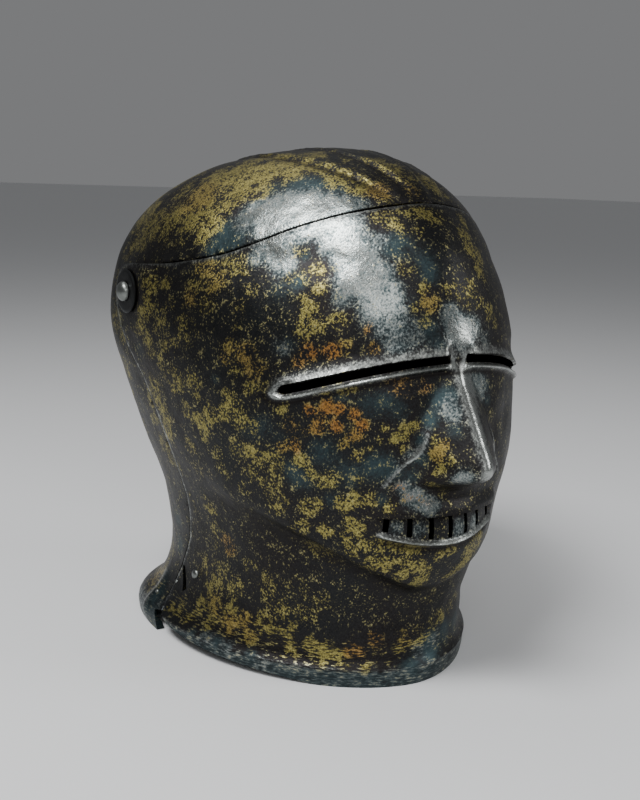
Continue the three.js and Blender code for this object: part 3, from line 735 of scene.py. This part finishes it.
def visor_painted_shade(points):
    """Painted shade under the lids, between the teeth, along the folds and at the seam, and under the mouth's
    rim and the nose.
    """
    x, y, z = points.T
    front = ramp(-y, 0, 30)
    away = -slit_depth(x, z)
    under_lip = bump(away, 4.6, 1.2) * (z < slit_line(x))
    teeth = 0.8 * ramp(MOUTH_HALF_WIDTH - np.abs(x), -2, 3) * bump(z, MOUTH_HIGH - 1.0, 2.2)
    under_rim = ramp(MOUTH_HALF_WIDTH - np.abs(x), 0, 6) * bump(z - mouth_floor(x), -4.8, 1.8)
    fold = bump(z - jaw_line(x), -3.0, 4.0) * 0.8
    under_nose = bump(x, 0, 18) * bump(z, 114, 4)
    seam = 0.7 * ramp(3.2 - depth_inside(visor_outline, points[:, 1:]), 0, 2.5) * (z > 205)
    hollows = np.maximum.reduce([under_lip, teeth, under_rim, fold, under_nose])
    return np.clip(front * hollows + seam, 0, 1)


def make_visor():
    bm = bent_grid(columns=300, rows=200, face_share=0.42)
    keep_inside(bm, lambda points: depth_inside(visor_outline, points[:, 1:]) + 4.0)
    refine(bm, detail_zone)
    keep_inside(bm, visor_field)
    flat = coordinates(bm)
    x, y, z = flat.T
    in_front = ramp(-y, 0, 30)
    dents = ramp(z, 4, 20) * hammer_relief(flat, 1, HAMMER_MARKS)
    face = lid_relief(x, z) + mouth_relief(x, z) + cheek_relief(x, z)
    move_along_normals(bm, in_front * face + flange_relief(z) + dents)
    points = coordinates(bm)
    points[:, 1] -= in_front * nose_relief(x, z)
    points = flatten_lobe(points, PIVOT_PLANE, 15, 30)
    points[:, 1] += BOX_SHIFT
    place_vertices(bm, points)
    mark(bm, visor_wear_and_highlight(flat), visor_painted_shade(flat))
    return plate_object("visor_plate", bm, rim_wall=3.6)


visor_plate = apply_modifiers(make_visor())
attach(visor_plate, "visor")
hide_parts("mask_visor")
print("visor plate:", len(visor_plate.data.vertices), "vertices", len(visor_plate.data.polygons), "faces")

# %% [markdown]
# ## The skull
# The skull is the same form, set in by the visor's thickness. Its crown carries four shallow grooves
# that run from the brow over the top and stand furthest apart in the middle, like the ribs of a leaf.

# %% Crown grooves
GROOVE_OFFSETS = [17.0, 42.0]
GROOVE_MIDDLE = 15.0
GROOVE_REACH = 125.0


def crown_relief(points):
    x, y, z = points.T
    spread = np.clip(1 - ((y - GROOVE_MIDDLE) / GROOVE_REACH) ** 2, 0.05, 1)
    across = np.abs(x) / spread
    relief = np.zeros(len(points))
    for offset in GROOVE_OFFSETS:
        relief += ridge((across - offset) * spread, 1.7, -1.3)
        relief += ridge((across - offset) * spread + 4.0, 2.6, 0.8)
    relief += ridge(across * spread, 5.0, 0.6)
    ends = ramp(y, -92, -60) * ramp(105 - y, 0, 30)
    return relief * ends * ramp(z, 232, 256)


# %% Make the skull
def skull_field(points):
    return -depth_inside(face_opening, points[:, 1:])


def skull_inset(points):
    """The skull steps in where the visor laps it and round the pivots, and is full elsewhere."""
    lapped = ramp(depth_inside(visor_outline, points[:, 1:]), -1.4, -0.5)
    away = np.linalg.norm(points[:, 1:] - PIVOT, axis=1)
    share = np.maximum(lapped, 1 - ramp(away, 24, 46))
    return FREE_INSET + (LAP_INSET - FREE_INSET) * share


def seam_zone(points):
    return np.abs(depth_inside(visor_outline, points[:, 1:]) + 0.8) < 3.0


def tail_relief(points):
    x, y, z = points.T
    lobe = ridge(y - 52 + 0.15 * z, 5.0, 2.2) * ramp(34 - z, 0, 18)
    return lobe * ramp(z, 1, 9)


def make_skull():
    bm = bent_grid(columns=300, rows=170, face_share=0.0)
    keep_inside(bm, skull_field)
    refine(bm, seam_zone)
    refine(bm, seam_zone)
    bm.normal_update()
    move_along_normals(bm, -skull_inset(coordinates(bm)))
    flat = coordinates(bm)
    dents = ramp(flat[:, 2], 4, 20) * hammer_relief(flat, 1, HAMMER_MARKS)
    move_along_normals(bm, crown_relief(flat) + tail_relief(flat) + dents)
    points = coordinates(bm)
    points[:, 1] += BOX_SHIFT
    place_vertices(bm, points)
    gap = -depth_inside(visor_outline, flat[:, 1:])
    # Painted shade: darker in the crown grooves and along the edge where the visor laps the skull.
    groove = np.clip(-crown_relief(flat), 0, 1)
    lap_shade = ramp(2.2 - gap, 0, 1.6) * ramp(flat[:, 2], 16, 30)
    mark(bm, 0.4 * bump(flat[:, 1], 52, 5) * (flat[:, 2] < 30), np.clip(lap_shade + groove, 0, 1))
    return plate_object("skull_plate", bm, rim_wall=4.4)


skull_plate = apply_modifiers(make_skull())
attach(skull_plate, "helmet_skull")
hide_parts("skull")
print("skull plate:", len(skull_plate.data.vertices), "vertices", len(skull_plate.data.polygons), "faces")


# %% [markdown]
# ## Rivets, washers and pins
# These are turned pieces, so each is a profile spun about its axis. The rivets' domes were closed with
# a hammer and are a little flat on top. Each piece stands square on the plate under it.

# %% A turned piece
def turned_piece(name, profile, foot, outward, steps=40):
    """Spins a profile of (distance, radius) about its axis and stands it at foot, pointing outward."""
    bm = bmesh.new()
    chain = [bm.verts.new((0, radius, distance)) for distance, radius in profile]
    edges = [bm.edges.new(pair) for pair in zip(chain, chain[1:])]
    bmesh.ops.spin(bm, geom=chain + edges, cent=(0, 0, 0), axis=(0, 0, 1), angle=2 * math.pi, steps=steps)
    bmesh.ops.remove_doubles(bm, verts=bm.verts, dist=1e-4)
    bmesh.ops.recalc_face_normals(bm, faces=bm.faces)
    turn = Vector(outward).to_track_quat("Z", "Y").to_matrix().to_4x4()
    bmesh.ops.transform(bm, matrix=Matrix.Translation(foot) @ turn, verts=bm.verts)
    bmesh.ops.scale(bm, vec=(MM, MM, MM), verts=bm.verts)
    mesh = bpy.data.meshes.new(name)
    bm.to_mesh(mesh)
    bm.free()
    mesh.polygons.foreach_set("use_smooth", [True] * len(mesh.polygons))
    mesh.set_sharp_from_angle(angle=SHARP_ANGLE)
    piece = bpy.data.objects.new(name, mesh)
    bpy.context.scene.collection.objects.link(piece)
    return piece


def dome(start, radius, rise, flat=0.18, steps=9):
    """The profile of a rivet's head, from its edge to a slightly flattened top."""
    turns = [math.pi / 2 * i / steps for i in range(steps)]
    arc = [(start + rise * math.sin(t) ** (1 - flat), radius * math.cos(t)) for t in turns]
    return arc + [(start + rise, 0.0)]


def on_plate(plate, y, z):
    """Where a line along X from the wearer's right meets a plate, and which way the plate faces."""
    _, place, normal, _ = plate.ray_cast(Vector((-0.3, y * MM, z * MM)), Vector((1, 0, 0)))
    return place / MM, normal


# %% Pivot rivets and washers
WASHER_FOOT = PIVOT_PLANE + 0.3
WASHER = [
    (0, 3.4), (0, 11.6), (0.5, 12.2), (1.1, 12.2), (1.6, 11.6), (1.8, 10.4), (1.6, 7.0), (1.6, 3.4), (0, 3.4),
]
CLENCHED_SHANK = [(-11, 0), (-11, 5.2), (-9.6, 5.5), (-9.2, 3.1), (1.9, 3.1)]
pieces = {}
for side, sign in (("right", -1), ("left", 1)):
    foot = Vector((sign * WASHER_FOOT, PIVOT[0] + BOX_SHIFT, PIVOT[1]))
    washer = turned_piece("washer_" + side, WASHER, foot, (sign, 0, 0), steps=64)
    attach(washer, "helmet_skull")
    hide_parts("pivot_washer_" + side)
    profile = CLENCHED_SHANK + dome(2.0, 5.6, 4.0)
    rivet = turned_piece("rivet_" + side, profile, foot, (sign, 0, 0), steps=48)
    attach(rivet, "helmet_skull")
    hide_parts("pivot_rivet_" + side)
    pieces["washer_" + side], pieces["rivet_" + side] = washer, rivet

# %% Lock rivet and small pins
place, normal = on_plate(visor_plate, 12.0 + BOX_SHIFT, 38.5)
profile = [(-2.4, 0), (-2.4, 1.4), (0.0, 1.4)] + dome(0.0, 2.9, 1.9)
lock_rivet = turned_piece("lock_rivet", profile, place, normal)
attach(lock_rivet, "visor")
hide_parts("lock_rivet_right")
pieces["lock_rivet"] = lock_rivet
SMALL_PINS = (
    ("visor_pin", visor_plate, "visor", 31.0, 28.5),
    ("tail_pin", skull_plate, "helmet_skull", 46.7, 18.0),
)
for name, plate, body, y, z in SMALL_PINS:
    place, normal = on_plate(plate, y + BOX_SHIFT, z)
    pin = turned_piece(name, [(-0.4, 0.0)] + dome(-0.4, 1.3, 1.2), place, normal, steps=24)
    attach(pin, body)
    pieces[name] = pin
print("turned pieces:", ", ".join(pieces))

# %% [markdown]
# ## The finish
# Blackened and gilded steel is one metal with thin layers over it, so every layer is shaded as metal
# and only its colour and its gloss change. The values charted on the plates say how much of a layer
# is left, and a noise decides which flakes of it are gone. Flakes are about half a millimetre across,
# in clumps of two to three millimetres. Near the bottom rim they are drawn out sideways into strokes,
# as if wiped along the rim. Burnish and patina fade smoothly, while the gold ends raggedly.

# %% Helpers for materials
def linear(hex_colour):
    values = [int(hex_colour[i:i + 2], 16) / 255 for i in (1, 3, 5)]
    return [v / 12.92 if v <= 0.04045 else ((v + 0.055) / 1.055) ** 2.4 for v in values] + [1.0]


def add_node(tree, kind, inputs=None, **settings):
    """Adds a node, sets its options, and fills each input with a value or links it to a socket."""
    node = tree.nodes.new("ShaderNode" + kind)
    for name, value in settings.items():
        setattr(node, name, value)
    for name, value in (inputs or {}).items():
        if isinstance(value, bpy.types.NodeSocket):
            tree.links.new(value, node.inputs[name])
        else:
            node.inputs[name].default_value = value
    return node


def new_material(name):
    material = bpy.data.materials.new(name)
    material.use_nodes = True
    material.node_tree.nodes.clear()
    return material, material.node_tree


def finish_material(tree, inputs):
    shader = add_node(tree, "BsdfPrincipled", inputs)
    add_node(tree, "OutputMaterial", {"Surface": shader.outputs["BSDF"]})


def maths(tree, operation, a, b=0.0, c=0.0, clamp=False):
    return add_node(tree, "Math", {0: a, 1: b, 2: c}, operation=operation, use_clamp=clamp).outputs[0]


def noise_at(tree, place, size_mm, detail, roughness, stretch=(1, 1, 1)):
    """A noise whose blots are about size_mm across; stretch above 1 makes them shorter that way."""
    scaled = add_node(tree, "Mapping", {"Vector": place, "Scale": stretch}).outputs[0]
    values = {"Vector": scaled, "Scale": 500.0 / size_mm, "Detail": detail, "Roughness": roughness}
    return add_node(tree, "TexNoise", values).outputs["Fac"]


def left_over(tree, amount, flakes, soft=0.10, middle=0.5):
    """1 where a layer is left: the amount says how much, and the flakes say where."""
    value = maths(tree, "ADD", amount, maths(tree, "SUBTRACT", flakes, 0.5))
    low, high = middle - soft, middle + soft
    limits = {"Value": value, "From Min": low, "From Max": high}
    return add_node(tree, "MapRange", limits, interpolation_type="SMOOTHSTEP").outputs[0]


def mix_colour(tree, share, under, over):
    return add_node(tree, "MixRGB", {"Fac": share, "Color1": under, "Color2": over}).outputs[0]


def mix_value(tree, share, under, over):
    return add_node(tree, "Mix", {"Factor": share, "A": under, "B": over}, data_type="FLOAT").outputs[0]


# %% Blackened steel with worn gilding
def make_gilt_steel():
    material, tree = new_material("worn_gilding_on_black_steel")
    place = add_node(tree, "TexCoord").outputs["Object"]
    chart = {
        name: add_node(tree, "Attribute", attribute_name=name).outputs["Fac"]
        for name in ("gilding", "warmth", "burnish", "patina", "wear_and_highlight", "painted_shade")
    }
    flakes = noise_at(tree, place, 0.55, 3.0, 0.65, stretch=(1, 1, 0.85))
    strokes = noise_at(tree, place, 0.6, 3.0, 0.65, stretch=(0.3, 0.3, 1.3))
    height_up = add_node(tree, "SeparateXYZ", {"Vector": place}).outputs["Z"]
    rim_zone = {"Value": height_up, "From Min": 0.036, "From Max": 0.022}
    near_rim = add_node(tree, "MapRange", rim_zone).outputs[0]
    flakes = mix_value(tree, near_rim, flakes, strokes)
    clumps = noise_at(tree, place, 2.4, 3.0, 0.6)
    clouds = noise_at(tree, place, 26.0, 3.0, 0.5)
    grain = noise_at(tree, place, 0.4, 2.0, 0.6)
    grain = add_node(tree, "MapRange", {"Value": grain, "From Min": 0.30, "From Max": 0.70}).outputs[0]

    specks = maths(tree, "ADD", maths(tree, "MULTIPLY", flakes, 2.8), maths(tree, "MULTIPLY", clumps, 1.6))
    specks = maths(tree, "SUBTRACT", specks, 1.7)
    soft_specks = maths(tree, "MULTIPLY_ADD", specks, 0.45, 0.275)
    gold_left = maths(tree, "MULTIPLY_ADD", chart["gilding"], 0.56, 0.11)
    gold_left = maths(tree, "MULTIPLY_ADD", chart["burnish"], -0.2, gold_left)
    gilding = left_over(tree, gold_left, specks, 0.24, 0.58)
    not_rubbed_or_highlit = maths(tree, "SUBTRACT", 1.0, chart["wear_and_highlight"])
    gilding = maths(tree, "MULTIPLY", gilding, not_rubbed_or_highlit, clamp=True)
    halo = maths(tree, "MAXIMUM", maths(tree, "MULTIPLY", chart["burnish"], 1.3), chart["patina"])
    halo = left_over(tree, halo, soft_specks, 0.45, 0.52)
    bare = left_over(tree, chart["burnish"], maths(tree, "MULTIPLY_ADD", specks, 0.8, 0.1), 0.42, 0.60)
    rubbed_and_highlit = left_over(tree, chart["wear_and_highlight"], soft_specks, 0.42, 0.52)

    oxide = mix_colour(tree, clouds, linear("#281f1d"), linear("#1e2528"))
    oxide = mix_colour(tree, maths(tree, "MULTIPLY", grain, 0.5), oxide, linear("#393a3a"))
    colour = mix_colour(tree, maths(tree, "MULTIPLY", halo, 0.8), oxide, linear("#3a4b4f"))
    steel = mix_colour(tree, grain, linear("#727c7b"), linear("#a6a8a3"))
    colour = mix_colour(tree, maths(tree, "MULTIPLY", bare, 0.92), colour, steel)
    yellow = mix_colour(tree, grain, linear("#5c5529"), linear("#b3a864"))
    coppery = mix_colour(tree, grain, linear("#5f4224"), linear("#bd8a49"))
    gold = mix_colour(tree, chart["warmth"], yellow, coppery)
    colour = mix_colour(tree, gilding, colour, gold)
    # Rubbed crests turn to bare steel, and the same mark paints a highlight along them.
    colour = mix_colour(tree, maths(tree, "MULTIPLY", rubbed_and_highlit, 0.92), colour, linear("#a5a9a5"))
    # Painted shade: the hollows, the seam and the crown grooves are darkened.
    colour = mix_colour(tree, maths(tree, "MULTIPLY", chart["painted_shade"], 0.8), colour, linear("#1d1a19"))

    gloss = mix_value(tree, clumps, 0.40, 0.52)
    gloss = mix_value(tree, bare, gloss, 0.24)
    gloss = mix_value(tree, gilding, gloss, 0.42)
    gloss = mix_value(tree, rubbed_and_highlit, gloss, 0.26)

    dents = noise_at(tree, place, 6.5, 2.0, 0.5)
    height = maths(tree, "ADD", maths(tree, "MULTIPLY", flakes, 0.5), maths(tree, "MULTIPLY", gilding, 0.15))
    height = maths(tree, "ADD", height, maths(tree, "MULTIPLY", clumps, 0.9))
    height = maths(tree, "ADD", height, maths(tree, "MULTIPLY", dents, 2.6))
    relief = add_node(tree, "Bump", {"Strength": 1.0, "Distance": 0.00022, "Height": height})
    finish_material(tree, {
        "Base Color": colour, "Metallic": 1.0, "Roughness": gloss, "Normal": relief.outputs[0],
    })
    return material


gilt_steel = make_gilt_steel()


# %% Blackened steel inside, and worn steel for the rivets
def make_plain_steel(name, dark, light, gloss):
    material, tree = new_material(name)
    place = add_node(tree, "TexCoord").outputs["Object"]
    clumps = noise_at(tree, place, 3.0, 4.0, 0.6)
    relief = add_node(tree, "Bump", {"Strength": 0.5, "Distance": 0.0002, "Height": clumps})
    finish_material(tree, {
        "Base Color": mix_colour(tree, clumps, linear(dark), linear(light)), "Metallic": 1.0,
        "Roughness": gloss, "Normal": relief.outputs[0],
    })
    return material


dark_oxide_steel = make_plain_steel("dark_oxide_steel", "#1c1a19", "#333637", 0.5)
rubbed_steel = make_plain_steel("rubbed_steel", "#4a4d4c", "#8f938f", 0.34)
for piece in (visor_plate, skull_plate):
    piece.data.materials.clear()
    piece.data.materials.append(gilt_steel)
    piece.data.materials.append(dark_oxide_steel)
for name, piece in pieces.items():
    is_washer = name.startswith("washer")
    piece.data.materials.append(dark_oxide_steel if is_washer else rubbed_steel)
print("finishes:", gilt_steel.name, dark_oxide_steel.name, rubbed_steel.name)

# %% [markdown]
# ## Floor, light and camera
# Dark polished metal shows little of its own colour and mostly what it reflects, so the light matters
# as much as the finish. A single lamp would leave hard white spots, and a lit sky alone would make the
# steel flat. Four broad softboxes are used: a strong one high on the wearer's right that models the
# brow and the cheek, and three weak ones that open the crown, the left side and the shadows. The
# camera looks at the wearer's right cheek from a little above, slightly rolled.

# %% Floor and world
floor_mesh = bpy.data.meshes.new("floor")
bm = bmesh.new()
bmesh.ops.create_grid(bm, x_segments=1, y_segments=1, size=25.0)
bm.to_mesh(floor_mesh)
bm.free()
floor = bpy.data.objects.new("floor", floor_mesh)
bpy.context.scene.collection.objects.link(floor)
floor_paint = bpy.data.materials.new("pale_floor")
floor_paint.use_nodes = True
floor_paint.node_tree.nodes["Principled BSDF"].inputs["Base Color"].default_value = linear("#dfe0e1")
floor_paint.node_tree.nodes["Principled BSDF"].inputs["Roughness"].default_value = 0.8
floor_mesh.materials.append(floor_paint)

world = bpy.data.worlds.new("studio")
bpy.context.scene.world = world
world.use_nodes = True
world.node_tree.nodes["Background"].inputs["Color"].default_value = linear("#d3d4d6")
world.node_tree.nodes["Background"].inputs["Strength"].default_value = 0.30


# %% Lamps
def add_area_lamp(name, place, target, width, height, watts):
    lamp = bpy.data.lights.new(name, "AREA")
    lamp.shape = "RECTANGLE"
    lamp.size = width
    lamp.size_y = height
    lamp.energy = watts
    holder = bpy.data.objects.new(name, lamp)
    bpy.context.scene.collection.objects.link(holder)
    holder.location = place
    holder.rotation_euler = (Vector(target) - Vector(place)).to_track_quat("-Z", "Y").to_euler()
    return holder


add_area_lamp("key_softbox", (-0.68, -0.20, 1.22), (0, 0, 0.2), 0.55, 0.45, 18)
add_area_lamp("top_softbox", (-0.10, 0.50, 1.20), (0, 0, 0.2), 0.8, 0.5, 1.8)
add_area_lamp("right_softbox", (0.88, -0.82, 0.60), (0, 0, 0.17), 0.45, 0.45, 5)
add_area_lamp("front_fill", (-0.50, -1.10, 0.75), (0, 0, 0.15), 0.9, 0.6, 5)

# %% Camera
CAMERA_AZIMUTH = math.radians(-33.7)
CAMERA_ELEVATION = math.radians(10.8)
CAMERA_ROLL = math.radians(2.0)
CAMERA_DISTANCE = 0.664
CAMERA_TARGET = Vector((0, BOX_SHIFT * MM, 0.140))
SENSOR_WIDTH = 36.0
FOCAL_LENGTH = 63.1215
away = Vector((
    math.sin(CAMERA_AZIMUTH) * math.cos(CAMERA_ELEVATION),
    -math.cos(CAMERA_AZIMUTH) * math.cos(CAMERA_ELEVATION),
    math.sin(CAMERA_ELEVATION),
))
lens = bpy.data.cameras.new("camera")
lens.sensor_fit = "HORIZONTAL"
lens.sensor_width = SENSOR_WIDTH
lens.lens = FOCAL_LENGTH
lens.shift_x = -0.00586
lens.shift_y = -0.00648
camera = bpy.data.objects.new("camera", lens)
bpy.context.scene.collection.objects.link(camera)
camera.location = CAMERA_TARGET + away * CAMERA_DISTANCE
turn = (-away).to_track_quat("-Z", "Y").to_matrix().to_4x4()
camera.rotation_euler = (turn @ Matrix.Rotation(CAMERA_ROLL, 4, "Z")).to_euler()
bpy.context.scene.camera = camera

# %% Update the scene
bpy.context.view_layer.update()
